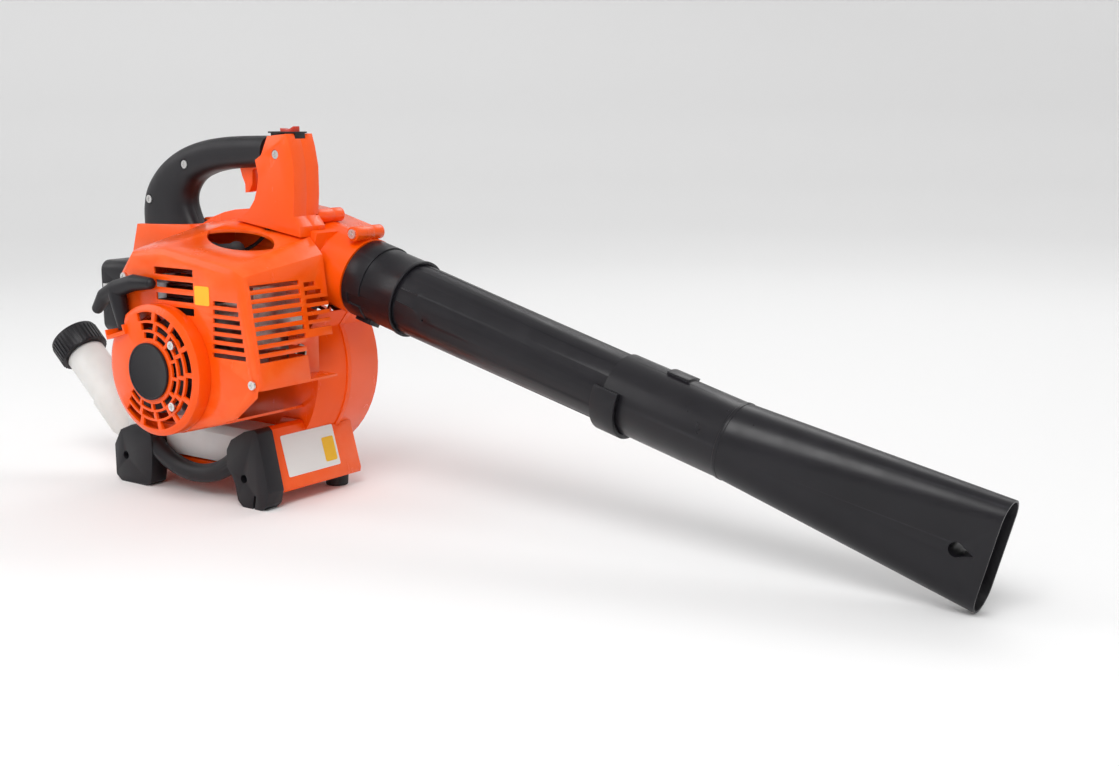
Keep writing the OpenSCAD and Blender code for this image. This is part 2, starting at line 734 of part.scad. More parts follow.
// Pocket in the housing that the pull handle's stem parks in
module stem_pocket(thick, extra) {
    along_rope() translate([-13 - thick, -14 - extra, 45 - thick + (extra > 0 ? 2 : 0)])
        cube([26 + 2 * thick, 20 + 2 * extra, 8 + extra * 8 + thick]);
}

module starter_badge() place() color(black) {
    rod_y(0, crank_h, -starter_face - 2.4, -starter_face - seat_gap / 2, 29);
    pipe_y(0, crank_h, -starter_face - badge_proud, -starter_face - 2.4 + eps, 29, 27);
}

// Alike screws of the starter housing and the engine cover
module case_screws() place() color(steel) {
    for (s = starter_screw_places) screw_y(s[0], -starter_face - 0.2, s[1], case_screw_r, case_screw_len);
    for (s = cover_screw_places) screw_y(s[0], -cover_front - seat_gap, s[1], case_screw_r, case_screw_len);
}

reel_half = 4;

module starter_reel() place() color(soft_black) difference() {
    union() {
        pipe_y(0, crank_h, -reel_mid - reel_half, -reel_mid - 2.2, rope_reel_r + 6, 4);
        pipe_y(0, crank_h, -reel_mid + 2.2, -reel_mid + reel_half, rope_reel_r + 6, 4);
        pipe_y(0, crank_h, -reel_mid - 2.3, -reel_mid + 2.3, rope_reel_r - rope_r - 0.4, 4);
    }
    rod_y(0, crank_h, -reel_mid - 6, -reel_mid + 6, 5);
}

// Flat coil spring behind the badge
spring_turns = 4;

module recoil_spring() place() color(steel) translate([0, -reel_mid - reel_half - 0.4, crank_h]) rotate([90, 0, 0])
    linear_extrude(3) polygon(concat(
        [for (a = [0:15:360 * spring_turns]) let (r = 10 + 18 * a / (360 * spring_turns)) [r * cos(a), r * sin(a)]],
        [for (a = [360 * spring_turns:-15:0]) let (r = 11 + 18 * a / (360 * spring_turns)) [r * cos(a), r * sin(a)]]
    ));

module starter_rope() place() color("white") along_rope() translate([0, 0, 6])
    cylinder(r = rope_r, h = stem_at - 6 + 14, $fn = rounded);

// Bar of the pull handle: place along it, rise and radius
pull_bar = [[-36, -13, 6], [-20, -3, 8], [0, 0, 9], [30, 0, 8.5], [54, -6, 6]];

module pull_handle() place() color(black) along_rope() difference() {
    union() {
        hull() {
            translate([0, 0, stem_at]) cylinder(r = 7, h = 1, $fn = rounded);
            translate([0, 0, stem_at + stem_len - 8]) cylinder(r = 9, h = 8, $fn = rounded);
        }
        for (i = [0:len(pull_bar) - 2]) hull() for (k = [i, i + 1])
            translate([pull_bar[k][0], 0, stem_at + stem_len + pull_bar[k][1]])
            sphere(r = pull_bar[k][2], $fn = rounded);
    }
    translate([0, 0, stem_at - 1]) cylinder(r = rope_r + 0.1, h = 16, $fn = rounded);
}

// ---------- fuel tank ----------
tank_x0 = -134;
tank_x1 = 62;

module tank_body(inset) {
    hull() {
        for (x = [tank_x0, tank_x1], y = [-tank_front + 14, -tank_back - 14])
            translate([x, y, tank_floor + inset]) cylinder(r = 14 - inset, h = tank_roof - tank_floor - 2 * inset - 8, $fn = rounded);
        for (x = [tank_x0 + 4, tank_x1 - 4], y = [-tank_front + 18, -tank_back - 18])
            translate([x, y, tank_floor + inset]) cylinder(r = 12 - inset, h = tank_roof - tank_floor - 2 * inset, $fn = rounded);
    }
}

module on_neck() {
    translate(neck_foot) rotate([0, -neck_lean, 0]) children();
}

module fuel_tank() place() color(milky) difference() {
    union() {
        tank_body(0);
        hull() {
            on_neck() cylinder(r = neck_r + 2, h = 40, $fn = rounded);
            translate([tank_x0, -tank_front + 20, tank_floor + 6]) sphere(r = 18, $fn = rounded);
        }
        on_neck() cylinder(r = neck_r, h = neck_len - 16, $fn = fine);
        on_neck() cylinder(r = neck_r - 2, h = neck_len, $fn = fine);
    }
    tank_body(2);
    on_neck() translate([0, 0, 2]) cylinder(r = neck_r - 4.5, h = neck_len, $fn = fine);
    translate([-30, -78, tank_roof - 10]) cylinder(r = 3, h = 20, $fn = rounded);
}

module fuel_cap() place() color(black) on_neck() translate([0, 0, neck_len - 14]) difference() {
    union() {
        cylinder(r = cap_r - 1, h = cap_h, $fn = fine);
        for (a = [0:10:350]) rotate([0, 0, a]) translate([cap_r - 1.6, -1.2, 1]) cube([1.6, 2.4, cap_h - 4]);
    }
    translate([0, 0, -1]) cylinder(r = neck_r - 2 + sleeve_gap, h = cap_h - 4, $fn = fine);
    translate([0, 0, cap_h - 1.2]) cylinder(r = cap_r - 7, h = 3, $fn = fine);
}

module cap_seal() place() color([0.2, 0.2, 0.2]) on_neck() translate([0, 0, neck_len + 0.5]) difference() {
    cylinder(r = neck_r - 2.5, h = 2, $fn = fine);
    translate([0, 0, -1]) cylinder(r = neck_r - 5, h = 4, $fn = fine);
}

// ---------- swept tubes ----------
// Ring of points round a place, in the plane across the direction d
function ring_at(p, d, r, n) =
    let (side = abs(d[2]) > 0.95 * norm(d) ? [1, 0, 0] : [0, 0, 1])
    let (u = cross(side, d) / norm(cross(side, d)), v = cross(d, u) / norm(d))
    [for (i = [0:n - 1]) p + r * (cos(360 * i / n) * u + sin(360 * i / n) * v)];

function smooth_point(route, t) =
    let (last = len(route) - 1, k = min(floor(t), last - 1), f = t - k)
    let (a = route[max(k - 1, 0)], b = route[k], c = route[k + 1], d = route[min(k + 2, last)])
    0.5 * (2 * b + (c - a) * f + (2 * a - 5 * b + 4 * c - d) * f * f + (3 * b - a - 3 * c + d) * f * f * f);

module swept_tube(route, r, steps = 3, sides = 8) {
    count = (len(route) - 1) * steps;
    path = [for (i = [0:count]) smooth_point(route, i / steps)];
    rings = [for (i = [0:count]) ring_at(path[i], path[min(i + 1, count)] - path[max(i - 1, 0)], r, sides)];
    points = [for (ring = rings, p = ring) p];
    side_faces = [for (i = [0:count - 1], j = [0:sides - 1], half = [0, 1])
        let (a = i * sides + j, b = i * sides + (j + 1) % sides, c = b + sides, d = a + sides)
        half == 0 ? [c, b, a] : [d, c, a]];
    first = [for (j = [0:sides - 1]) j];
    final = [for (j = [sides - 1:-1:0]) count * sides + j];
    polyhedron(points = points, faces = concat([first, final], side_faces));
}

cable_r = 2;
cable_points = [[46, -54, 329], [49, -55, 320], [54, -55, 304], [50, -55, 284], [34, -55, 268],
                [8, -56, 256], [-24, -60, 254], [-52, -68, 250], [-68, -76, 246], [-75, -85, 238], [-75, -86, 231]];

module cable_route(r) {
    swept_tube(cable_points, r);
}

module throttle_cable() place() color(black) cable_route(cable_r);

hose_r = 2.4;
hose_points = [[-30, -78, 52], [-30, -78, 68], [-30, -78, 82], [-44, -74, 96], [-62, -66, 120], [-76, -64, 150],
               [-78, -66, 172], [-76, -70, 186]];

module hose_route(r) {
    swept_tube(hose_points, r);
}

module fuel_hose() place() color([0.85, 0.75, 0.3]) hose_route(hose_r);

module fuel_filter() place() color("white") translate([-30, -78, tank_floor + 3]) cylinder(r = 6, h = 12.8, $fn = rounded);

// ---------- stand ----------
leg_front = -bar_y + 13;
leg_back = 21;

// Leg seen from the starter side, from its bracket's hole outwards
module leg_outline() {
    polygon([[-20, foot_h], [31, foot_h], [32, foot_h + 5], [15, leg_h - 3], [10, leg_h], [-14, leg_h],
             [-20, leg_h - 8]]);
}

module base_stand() place() color(orange) difference() {
    union() {
        translate([front_hole_x, 0, 0]) slab(leg_front, leg_back) leg_outline();
        translate([rear_hole_x, 0, 0]) mirror([1, 0, 0]) slab(leg_front, leg_back) leg_outline();
        translate([rear_hole_x, leg_front, tray_h - 5])
            cube([front_hole_x - rear_hole_x, 50, 5]);
    }
    scroll_envelope(seat_gap);
    translate([tank_x0 - 17, leg_front - 1, tank_floor - seat_gap - 0.2])
        cube([tank_x1 - tank_x0 + 32, -tank_back - leg_front + 2, 60]);
    hull() {
        on_neck() cylinder(r = neck_r + 3, h = 40, $fn = rounded);
        translate([tank_x0, -tank_front + 20, tank_floor + 6]) sphere(r = 19, $fn = rounded);
    }
    for (x = [front_hole_x, rear_hole_x]) translate([x + sign(x) * foot_out, foot_y, foot_h - 1])
        cylinder(r = foot_stem_r + 0.2, h = 10, $fn = rounded);
}

// Carrying bar: an arc that sags between its two end brackets
bar_mid = -18;
bar_half = 64;
bar_sag = 24;
bar_top = 47;
bar_bend_r = (bar_half * bar_half + bar_sag * bar_sag) / (2 * bar_sag);
bracket_depth = 21;
front_bracket = [[42, 40], [43, 58], [50, 69], [70, 80], [84, 84], [89, 80], [103, 20], [99, 6], [92, 0], [64, 0],
                 [57, 6], [53, 24], [47, 34]];
rear_bracket = [[-76, 57], [-75, 40], [-78, 12], [-80, 4], [-87, 0], [-128, 0], [-137, 6], [-137, 40],
                [-126, 58], [-106, 66], [-84, 65]];

module base_handle() place() color(black) difference() {
    union() {
        for (outline = [front_bracket, rear_bracket])
            slab(-bar_y - bracket_depth / 2, -bar_y + bracket_depth / 2)
            offset(r = 4, $fn = rounded) offset(delta = -4) polygon(outline);
        intersection() {
            translate([bar_mid, -bar_y, bar_top - bar_sag + bar_bend_r])
                rotate([90, 0, 0]) rotate_extrude($fn = 200) translate([bar_bend_r, 0]) circle(r = bar_r, $fn = 32);
            translate([bar_mid - bar_half, -bar_y - 20, 0]) cube([2 * bar_half, 40, 70]);
        }
        for (x = [front_hole_x, rear_hole_x])
            translate([x - 8, -bar_y + bracket_depth / 2 - 1, foot_h + 3]) cube([16, 3.2, 8]);
    }
    for (x = [front_hole_x, rear_hole_x])
        rod_y(x, bracket_hole_z, -bar_y - bracket_depth, -bar_y + bracket_depth, bracket_hole_r);
    translate([78, -bar_y - 20, -1]) rotate([0, 12, 0]) cube([3, 40, 16]);
}

foot_stem_r = 3;
foot_out = 8;

module rubber_feet() place() color(black) for (x = [front_hole_x, rear_hole_x])
    translate([x + sign(x) * foot_out, foot_y, 0]) {
        cylinder(r1 = 12, r2 = 13, h = foot_h - seat_gap, $fn = rounded);
        translate([0, 0, foot_h - seat_gap - eps]) cylinder(r = foot_stem_r, h = 8, $fn = rounded);
    }

// ---------- handle ----------
pillar_points = [[57, 376.5], [85, 379], [89, 366], [93, 346], [93, 318], [91, 296], [100, 286], [100, 262],
                 [-12, 262], [-12, 287], [4, 289], [15, 292], [26, 300], [35, 311], [40, 324], [42, 336], [38, 352], [47, 357]];
base_points = [[-153, 278], [-66, 281], [-58, 268], [-44, 262], [-44, 246], [-163, 246], [-160, 256]];
grip_points = [[-153, 278.5], [-151, 300], [-145, 316], [-132, 332], [-112, 348], [-86, 361], [-57, 369],
               [-26, 373.5], [10, 375.5], [56.5, 376.5], [46.5, 357.5], [37.5, 352.5], [37.5, 344], [16, 343],
               [-16, 341], [-44, 336], [-64, 328], [-76, 316], [-80, 304], [-75, 292], [-66, 281.5]];

// Room for the trigger and the cable inside the handle
module trigger_room() {
    slab(-handle_y - trigger_w / 2 - 1, -handle_y + trigger_w / 2 + 1)
        polygon([[-10, 338], [-10, 364], [44, 368], [46, 344], [40, 330], [20, 330]]);
}

module handle_shell(points, side) {
    difference() {
        intersection() {
            slab(-handle_y - handle_w / 2, -handle_y + handle_w / 2) polygon(points);
            translate([-300, side < 0 ? -handle_y - 100 : -handle_y, 0]) cube([600, 100, 600]);
        }
        trigger_room();
        scroll_envelope(seat_gap);
        slab(-cable_deep - 6, -cable_deep + 8) polygon(cable_channel);
        rod_y(trigger_x, trigger_z, -handle_y - trigger_w / 2 - 5, -handle_y + trigger_w / 2 + 5,
              trigger_pin_r + shaft_gap, rounded);
        for (s = handle_screw_places) rod_y(s[0], s[1], -handle_y - 100, -handle_y - handle_w / 2 + 5, 5, rounded);
        for (s = handle_screw_places) rod_y(s[0], s[1], -handle_y - 100, -handle_y + 12, 2.6, rounded);
        translate([50.5, -handle_y - 7.5, 372]) cube([36, 15, 20]);
        cover_clearance();
    }
}

handle_screw_places = [[67, 358], [-72, 345], [-132, 306]];

// Space taken by the engine cover below the handle
module cover_clearance() {
    slab(-cover_front, -cover_back + seat_gap) cover_outline(cover_climb, -seat_gap);
}

module handle_left() place() color(orange) handle_shell(pillar_points, -1);

module handle_right() place() color(orange) handle_shell(pillar_points, 1);

// Orange foot that the grip's rear end stands on
module grip_seat() place() color(orange) difference() {
    slab(-handle_y - handle_w / 2, -handle_y + handle_w / 2) polygon(base_points);
    scroll_envelope(seat_gap);
    cover_clearance();
}

module grip_left() place() color(soft_black) handle_shell(grip_points, -1);

module grip_right() place() color(soft_black) handle_shell(grip_points, 1);

module handle_screws() place() color(steel)
    for (s = handle_screw_places) screw_y(s[0], -handle_y - handle_w / 2 + 2.5, s[1], 4.4, 24);

module throttle_trigger() place() color(orange) difference() {
    slab(-handle_y - trigger_w / 2, -handle_y + trigger_w / 2)
        polygon([[1, 343], [4, 350], [24, 358], [36, 358], [40, 352], [36, 346], [20, 341], [19, 326], [14, 318],
                 [8, 317], [8, 326], [4, 334]]);
    rod_y(trigger_x, trigger_z, -handle_y - 20, -handle_y + 20, trigger_pin_r + shaft_gap, rounded);
    translate([8, -handle_y - 6.5, 344]) cube([14, 7, 20]);
}

module trigger_pin() place() color(steel)
    rod_y(trigger_x, trigger_z, -handle_y - trigger_w / 2 - 4.5, -handle_y + trigger_w / 2 + 4.5, trigger_pin_r, rounded);

// Channel for the throttle cable down the pillar's inside
cable_deep = 54;
cable_channel = [[14, 346], [40, 318], [46, 296], [44, 278], [62, 278], [62, 308], [54, 334], [32, 356], [14, 358]];

// Stop switch: a base let into the pillar and a rocker on top
rocker_x = 72;
rocker_z = 380;

module switch_base() place() color(black) difference() {
    union() {
        translate([51, -handle_y - 7, 373]) cube([35, 14, 5.6]);
        translate([49, -handle_y - 9, 379.4]) cube([38, 18, 1.6]);
        translate([51, -handle_y - 7, 378]) cube([35, 14, 2]);
    }
    translate([rocker_x - 10.5, -handle_y - 4.8, 374.5]) cube([21, 9.6, 10]);
    rod_y(rocker_x, rocker_z - 1, -handle_y - 8, -handle_y + 8, 1 + shaft_gap, rounded);
}

module switch_rocker() place() color([0.85, 0.15, 0.05]) {
    difference() {
        slab(-handle_y - 4.4, -handle_y + 4.4) translate([rocker_x, rocker_z])
            polygon([[-9.5, 0.6], [-10, 4.4], [-4, 3.4], [0, 3], [4, 4], [9, 6.4], [9.5, 1], [6, -3], [-6, -3]]);
    }
    rod_y(rocker_x, rocker_z - 1, -handle_y - 6.6, -handle_y + 6.6, 1, rounded);
}

// ---------- collar and tubes ----------
module on_tube() {
    along_duct() translate([0, 0, duct_offset]) children();
}

module tube_collar() place() color(black) on_tube() difference() {
    union() {
        pipe_x(collar_start, collar_end, collar_r, collar_r, tube_wall);
        difference() {
            pipe_x(collar_start, collar_start + 24, band_r, band_r, band_r - collar_r + 1);
            rotate([118, 0, 0]) translate([collar_start + 8, 0, 0]) cube([30, 12, 60]);
        }
        pipe_x(collar_end - 3, collar_end, collar_r + 1, collar_r + 1, 2);
        rotate([160, 0, 0]) translate([collar_start + 10, -8, collar_r - 1]) cube([20, 16, 5]);
    }
    pipe_x(collar_start - 1, collar_end + 1, tube_r + sleeve_gap, tube_r + sleeve_gap, tube_r);
}

// Lug on the tube that turns inside a pocket of the nozzle's sleeve
lug_len = 18;
lug_half = 4;
lug_proud = 2.4;
lug_room = 1;
nozzle_turn = 10;

module bayonet_lug(at, reach) {
    translate([at, -lug_half, 0]) cube([lug_len, 2 * lug_half, reach]);
}

// Wedge that the lug sweeps, grown by a margin, out to a radius
module lug_sweep(margin, reach) {
    side = asin((lug_half + margin) / tube_end_r);
    translate([lug_at - margin, 0, 0]) rotate([0, 90, 0]) rotate([0, 0, 180 - side - nozzle_turn])
        rotate_extrude(angle = 2 * side + nozzle_turn, $fn = fine)
        translate([tube_end_r - 3, 0]) square([reach - tube_end_r + 3, lug_len + 2 * margin]);
}

module upper_tube() place() color(black) on_tube() difference() {
    union() {
        pipe_x(spigot_end + 1, collar_end + 2, tube_r, tube_r, tube_wall);
        pipe_x(collar_end + 2 - eps, seam_at - 4, tube_r, tube_end_r, tube_wall);
        pipe_x(seam_at - 4 - eps, tube_end, tube_end_r, tube_end_r, tube_wall);
        difference() {
            bayonet_lug(lug_at, tube_end_r + lug_proud);
            translate([lug_at - 1, 0, 0]) rotate([0, 90, 0]) cylinder(r = tube_end_r - 1, h = 30, $fn = fine);
        }
        for (a = [62, 84]) rotate([a, 0, 0]) translate([collar_end + 3, -0.6, tube_r - 1]) cube([22, 1.2, 1.6]);
    }
    rotate([96, 0, 0]) translate([collar_end + 40, 0, 20]) cylinder(r = 1.2, h = 30, $fn = rounded);
}

// Radius and half height of the nozzle's section at a station: round in the sleeve, a tall stadium at the mouth
function flare_share(s) = max(0, (s - flare_at) / (tip_at - flare_at));
function nozzle_r(s) = sleeve_r + (mouth_w / 2 - sleeve_r) * flare_share(s);
function nozzle_rise(s) = (mouth_h - mouth_w) / 2 * flare_share(s);

nozzle_sides = 64;
function nozzle_ring(s, grow) = [
    for (i = [0:nozzle_sides - 1])
        let (a = 360 * (i + 0.5) / nozzle_sides, r = nozzle_r(s) + grow)
        [s, r * sin(a), r * cos(a) + sign(cos(a)) * nozzle_rise(s)]
];

// Thin-walled skin from the sleeve to the mouth, with the low ring where the flare starts
module nozzle_skin() {
    outer = [[seam_at, 0], [flare_at - 2, 0], [flare_at - 1.5, ring_proud], [flare_at + 1.5, ring_proud],
             [flare_at + 2, 0], [tip_at, 0]];
    inner = [[tip_at, -tube_wall], [flare_at, -tube_wall], [seam_at, -tube_wall]];
    rings = [for (station = concat(outer, inner)) nozzle_ring(station[0], station[1])];
    count = len(rings);
    polyhedron(points = [for (ring = rings, p = ring) p], faces = [
        for (i = [0:count - 1], j = [0:nozzle_sides - 1], half = [0, 1])
            let (a = i * nozzle_sides + j, b = i * nozzle_sides + (j + 1) % nozzle_sides)
            let (c = b + nozzle_sides, d = a + nozzle_sides, all = count * nozzle_sides)
            half == 0 ? [a, b, c % all] : [a, c % all, d % all]
    ]);
}

// Drop-shaped hole through both sides near the mouth, lined by a tunnel
ring_proud = 0.6;
drop_r = 6.5;
drop_len = 15;
drop_lining = 1.6;
drop_at = tip_at - 27;

module drop_outline(grow) {
    translate([drop_at, 0]) circle(r = drop_r + grow, $fn = rounded);
    translate([drop_at, 0])
        polygon([[0, drop_r + grow], [drop_len + grow * 1.6, 0], [0, -drop_r - grow]]);
}

module nozzle() place() color(black) on_tube() difference() {
    union() {
        nozzle_skin();
        slab(-nozzle_r(drop_at + drop_len + 3) + 0.1, nozzle_r(drop_at + drop_len + 3) - 0.1)
            drop_outline(drop_lining);
        difference() {
            lug_sweep(lug_room + 1.6, tube_end_r + lug_proud + lug_room + 1.4);
            translate([seam_at, 0, 0]) rotate([0, 90, 0]) cylinder(r = sleeve_r - tube_wall / 2, h = 200, $fn = fine);
        }
    }
    slab(-mouth_h, mouth_h) drop_outline(0);
    lug_sweep(lug_room, tube_end_r + lug_proud + lug_room);
}

module tube_clip() place() color(black) on_tube() difference() {
    rotate([0, 90, 0]) translate([0, 0, seam_at - 8]) rotate([0, 0, -105]) rotate_extrude(angle = 118, $fn = fine)
        translate([sleeve_r + 0.1, 0]) square([4.6, 27]);
    translate([seam_at - 20, 0, 0]) rotate([0, 90, 0]) cylinder(r = sleeve_r + 0.1, h = 20, $fn = fine);
}

volute_engine_half();
volute_intake_half();
volute_screws();
intake_guard();
guard_pin();
fan();
fan_nut();
crank_fan_half();
crank_starter_half();
crank_pin();
conrod();
piston();
wrist_pin();
crankcase_fan_half();
crankcase_starter_half();
main_bearings();
cylinder_block();
spark_plug();
plug_boot();
ignition_coil();
flywheel();
muffler();
intake_manifold();
carburettor();
primer_bulb();
choke_lever();
filter_base();
filter_element();
filter_cover();
engine_cover();
starter_housing();
starter_badge();
case_screws();
starter_reel();
recoil_spring();
starter_rope();
pull_handle();
fuel_tank();
fuel_cap();
cap_seal();
fuel_hose();
fuel_filter();
base_stand();
base_handle();
rubber_feet();
handle_left();
handle_right();
grip_seat();
grip_left();
grip_right();
handle_screws();
throttle_trigger();
trigger_pin();
throttle_cable();
switch_base();
switch_rocker();
tube_collar();
upper_tube();
nozzle();
tube_clip();
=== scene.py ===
import json
import math

import bmesh
import bpy
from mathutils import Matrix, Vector


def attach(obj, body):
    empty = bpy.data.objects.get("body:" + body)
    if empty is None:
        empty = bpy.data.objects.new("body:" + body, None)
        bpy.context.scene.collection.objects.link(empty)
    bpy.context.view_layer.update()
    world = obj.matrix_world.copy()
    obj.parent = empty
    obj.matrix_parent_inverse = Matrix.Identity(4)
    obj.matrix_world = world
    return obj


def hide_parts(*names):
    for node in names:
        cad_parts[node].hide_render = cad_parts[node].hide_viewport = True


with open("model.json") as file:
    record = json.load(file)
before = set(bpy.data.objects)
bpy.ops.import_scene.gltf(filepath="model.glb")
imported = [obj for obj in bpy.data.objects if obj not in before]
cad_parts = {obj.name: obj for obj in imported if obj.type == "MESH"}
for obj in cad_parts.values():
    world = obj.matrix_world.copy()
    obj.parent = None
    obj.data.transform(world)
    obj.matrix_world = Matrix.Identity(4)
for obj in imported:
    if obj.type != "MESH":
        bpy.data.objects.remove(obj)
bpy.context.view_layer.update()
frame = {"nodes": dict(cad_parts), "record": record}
RECORD = frame["record"]
NODES = frame["nodes"]
SLOT_OF = {s["node"]: s["material_slot"] for s in RECORD["subparts"]}
BODY_OF = {n: b for b, members in RECORD["behaviour"]["bodies"].items() for n in members}
JOINTS = {j["name"]: j for j in RECORD["behaviour"]["joints"]}
MM = 0.001

# The crank's axis is the design's own centre: x and y are counted from it, z from the ground
CRANK = Vector(JOINTS["crank_spin"]["pos_m"])


def at(x, y, z):
    """A point in millimetres, x from the crank, y from the parting plane and z from the ground."""
    return Vector((CRANK.x + x * MM, CRANK.y + y * MM, z * MM))


# ---------- camera, floor and lights ----------

LENS = 48.26
AZIMUTH = math.radians(35.48)
ELEVATION = math.radians(10.55)
EYE = at(1199.1, -1149.6, 408.5)


def aim(obj, direction):
    obj.rotation_euler = Vector(direction).to_track_quat("-Z", "Y").to_euler()


def add_camera():
    data = bpy.data.cameras.new("camera")
    data.lens = LENS
    data.sensor_width = 36
    data.clip_start = 0.05
    camera = bpy.data.objects.new("camera", data)
    bpy.context.scene.collection.objects.link(camera)
    camera.location = EYE
    back = Vector((
        math.sin(AZIMUTH) * math.cos(ELEVATION),
        -math.cos(AZIMUTH) * math.cos(ELEVATION),
        math.sin(ELEVATION),
    ))
    aim(camera, -back)
    bpy.context.scene.camera = camera


def add_area_light(name, place, target, size, power, tint=(1, 1, 1)):
    data = bpy.data.lights.new(name, "AREA")
    data.shape = "RECTANGLE"
    data.size, data.size_y = size
    data.energy = power
    data.color = tint
    light = bpy.data.objects.new(name, data)
    bpy.context.scene.collection.objects.link(light)
    light.location = place
    aim(light, Vector(target) - Vector(place))


def add_stage():
    """A wide pale floor that curves up into a backdrop all round."""
    rings = [(0, 0), (2.6, 0), (3.2, 0.04), (3.6, 0.16), (3.9, 0.4), (4.05, 0.8), (4.1, 3.2)]
    sides = 96
    mesh = bpy.data.meshes.new("stage")
    points = [(0, 0, 0)]
    faces = []
    for r, h in rings[1:]:
        points += [
            (r * math.cos(math.tau * i / sides), r * math.sin(math.tau * i / sides), h)
            for i in range(sides)
        ]
    for i in range(sides):
        faces.append((0, 1 + i, 1 + (i + 1) % sides))
        for k in range(len(rings) - 2):
            a = 1 + k * sides
            b = a + sides
            j = (i + 1) % sides
            faces.append((a + i, b + i, b + j, a + j))
    mesh.from_pydata(points, [], faces)
    mesh.shade_smooth()
    floor = bpy.data.objects.new("stage", mesh)
    bpy.context.scene.collection.objects.link(floor)
    mesh.materials.append(plain_material("stage", (0.92, 0.92, 0.92), 0.9))


def add_world():
    world = bpy.data.worlds.new("studio")
    world.use_nodes = True
    world.node_tree.nodes["Background"].inputs["Color"].default_value = (1, 1, 1, 1)
    world.node_tree.nodes["Background"].inputs["Strength"].default_value = 0.55
    bpy.context.scene.world = world


# ---------- materials ----------


def new_material(name, colour, roughness, metallic=0.0):
    material = bpy.data.materials.new(name)
    material.use_nodes = True
    shader = material.node_tree.nodes["Principled BSDF"]
    shader.inputs["Base Color"].default_value = (*colour, 1)
    shader.inputs["Roughness"].default_value = roughness
    shader.inputs["Metallic"].default_value = metallic
    return material, shader


def plain_material(name, colour, roughness):
    return new_material(name, colour, roughness)[0]


def node(material, kind, **values):
    made = material.node_tree.nodes.new("ShaderNode" + kind)
    for key, value in values.items():
        if key in made.inputs:
            made.inputs[key].default_value = value
        else:
            setattr(made, key, value)
    return made


def join(material, out, into):
    material.node_tree.links.new(out, into)


def noise(material, scale, detail=4.0, rough=0.55, stretch=(1, 1, 1)):
    """Noise in the object's own coordinates; scale is in features per metre."""
    place = node(material, "TexCoord")
    mapping = node(material, "Mapping")
    mapping.inputs["Scale"].default_value = stretch
    join(material, place.outputs["Object"], mapping.inputs["Vector"])
    made = node(material, "TexNoise", Scale=scale, Detail=detail, Roughness=rough)
    join(material, mapping.outputs["Vector"], made.inputs["Vector"])
    return made.outputs["Fac"]


def spread(material, value, low, high, from_low=0.3, from_high=0.7):
    made = node(material, "MapRange")
    made.inputs["From Min"].default_value = from_low
    made.inputs["From Max"].default_value = from_high
    made.inputs["To Min"].default_value = low
    made.inputs["To Max"].default_value = high
    join(material, value, made.inputs["Value"])
    return made.outputs["Result"]


def mixed_colour(material, share, first, second):
    made = node(material, "Mix", data_type="RGBA")
    made.inputs[6].default_value = (*first, 1)
    made.inputs[7].default_value = (*second, 1)
    join(material, share, made.inputs[0])
    return made.outputs[2]


def moulded(name, colour, roughness, grain, depth, variation=0.12, worn=None, specular=0.5, coat=0.0):
    """Moulded plastic: a fine surface texture, faint cloudiness, scuffs and edges rubbed lighter."""
    material, shader = new_material(name, colour, roughness)
    shader.inputs["Specular IOR Level"].default_value = specular
    if coat:
        shader.inputs["Coat Weight"].default_value = coat
        shader.inputs["Coat Roughness"].default_value = 0.12
    darker = tuple(c * (1 - variation) for c in colour)
    cloud = noise(material, 14, 3, 0.5)
    base = mixed_colour(material, spread(material, cloud, 0, 1), darker, colour)
    if worn:
        shape = node(material, "NewGeometry")
        rubbed = spread(material, shape.outputs["Pointiness"], 0, 0.55, 0.53, 0.6)
        patchy = node(material, "Math", operation="MULTIPLY")
        join(material, rubbed, patchy.inputs[0])
        join(material, spread(material, noise(material, 60, 5, 0.6), 0.2, 1.0), patchy.inputs[1])
        over = node(material, "Mix", data_type="RGBA")
        over.inputs[7].default_value = (*worn, 1)
        join(material, patchy.outputs[0], over.inputs[0])
        join(material, base, over.inputs[6])
        base = over.outputs[2]
    join(material, base, shader.inputs["Base Color"])
    scuffs = noise(material, 45, 6, 0.65, (1, 1, 0.4))
    join(material, spread(material, scuffs, roughness * 0.82, roughness * 1.2), shader.inputs["Roughness"])
    bump = node(material, "Bump", Strength=0.35, Distance=depth)
    join(material, noise(material, grain, 2, 0.5), bump.inputs["Height"])
    join(material, bump.outputs["Normal"], shader.inputs["Normal"])
    return material


def metal(name, colour, roughness, grain, depth, brushed=(1, 1, 1), stain=None):
    material, shader = new_material(name, colour, roughness, 1.0)
    if stain:
        patches = noise(material, 26, 6, 0.6)
        tone = mixed_colour(material, spread(material, patches, 0, 1, 0.42, 0.66), colour, stain)
        join(material, tone, shader.inputs["Base Color"])
    streaks = noise(material, grain, 4, 0.6, brushed)
    join(material, spread(material, streaks, roughness * 0.7, roughness * 1.35), shader.inputs["Roughness"])
    bump = node(material, "Bump", Strength=0.4, Distance=depth)
    join(material, streaks, bump.inputs["Height"])
    join(material, bump.outputs["Normal"], shader.inputs["Normal"])
    return material


def milky(name, colour):
    """Translucent blow-moulded polyethylene."""
    material, shader = new_material(name, colour, 0.38)
    shader.inputs["Subsurface Weight"].default_value = 0.6
    shader.inputs["Subsurface Radius"].default_value = (1.0, 0.9, 0.8)
    shader.inputs["Subsurface Scale"].default_value = 0.012
    cloud = noise(material, 22, 4, 0.5)
    darker = tuple(c * 0.86 for c in colour)
    tone = mixed_colour(material, spread(material, cloud, 0, 1), darker, colour)
    join(material, tone, shader.inputs["Base Color"])
    bump = node(material, "Bump", Strength=0.3, Distance=0.0004)
    join(material, noise(material, 260, 3, 0.5), bump.inputs["Height"])
    join(material, bump.outputs["Normal"], shader.inputs["Normal"])
    return material


